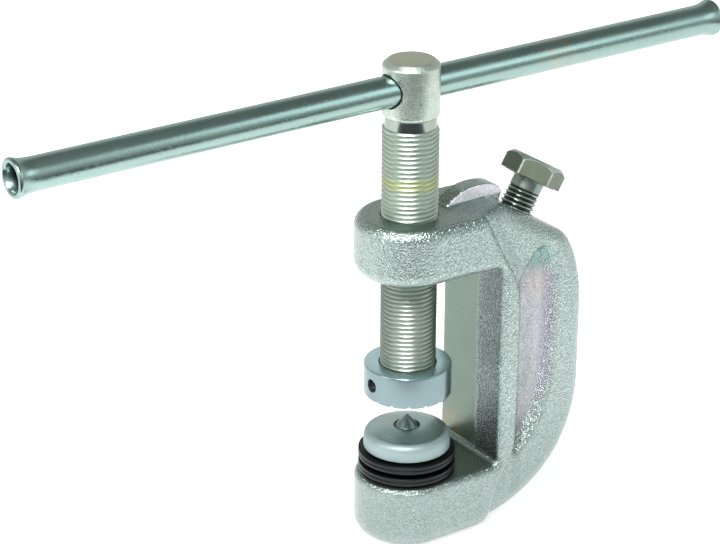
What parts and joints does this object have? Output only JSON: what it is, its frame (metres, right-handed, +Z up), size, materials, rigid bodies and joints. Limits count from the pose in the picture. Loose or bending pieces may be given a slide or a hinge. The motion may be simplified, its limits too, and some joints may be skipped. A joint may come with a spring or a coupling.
{
  "type": "ball joint separator",
  "caption": "Screw-operated ball joint separator with a forged C-frame, sprung pointed anvil, pressure pad, sliding tommy bar and hex striking bolt.",
  "frame": {"origin": "on the spindle's axis, at the flat underside of the lower jaw", "axes": "+Z up along the spindle, +X from the spindle to the back of the C-frame and along the tommy bar at rest"},
  "size_m": [0.3444, 0.0466, 0.2154],
  "materials": {
    "zinc_plated_forging": "bead-blasted forging, zinc plated, satin",
    "olive_bolt_steel": "olive passivated, satin",
    "spindle_steel": "cut thread, pale yellow passivated",
    "ball_steel": "polished",
    "bright_zinc": "bright zinc plated",
    "turned_pad_steel": "fine turned, blue-grey",
    "black_screw_steel": "black oxide",
    "pale_anvil_steel": "turned, pale zinc",
    "hardened_point": "ground and hardened",
    "black_spring_steel": "black phosphated, oiled"
  },
  "bodies": {
    "frame": {"frame": "zinc_plated_forging", "disc_spring_1": "black_spring_steel", "disc_spring_2": "black_spring_steel", "disc_spring_3": "black_spring_steel", "disc_spring_4": "black_spring_steel"},
    "pressure_pad": {"pressure_pad": "turned_pad_steel", "pad_grub_screw": "black_screw_steel", "thrust_ball": "ball_steel"},
    "spindle": {"spindle": "spindle_steel"},
    "tommy_bar": {"tommy_bar": "bright_zinc"},
    "anvil": {"anvil": "pale_anvil_steel", "anvil_centre_point": "hardened_point", "anvil_snap_ring": "black_spring_steel"},
    "striking_bolt": {"striking_bolt": "olive_bolt_steel"}
  },
  "joints": [
    {"name": "spindle_feed", "type": "slide", "parent": "frame", "child": "pressure_pad", "axis": [0, 0, 1], "range_m": [-0.0125, 0.042]},
    {"name": "spindle_turn", "type": "hinge", "parent": "pressure_pad", "child": "spindle", "pos_m": [0, 0, 0.13], "axis": [0, 0, 1], "range_deg": [-2250, 7560]},
    {"name": "bar_slide", "type": "slide", "parent": "spindle", "child": "tommy_bar", "axis": [1, 0, 0], "range_m": [-0.14, 0.159]},
    {"name": "anvil_travel", "type": "slide", "parent": "frame", "child": "anvil", "axis": [0, 0, 1], "range_m": [-0.003, 0], "stiffness_N_per_m": 20000, "deforming": ["disc_spring_1", "disc_spring_2", "disc_spring_3", "disc_spring_4"]},
    {"name": "bolt_screw", "type": "slide", "parent": "frame", "child": "striking_bolt", "axis": [0.515, 0, 0.8572], "range_m": [-0.008, 0.012]}
  ],
  "couplings": [
    {"joint": "spindle_feed", "follows": "spindle_turn", "m_per_rad": 0.00031831}
  ]
}
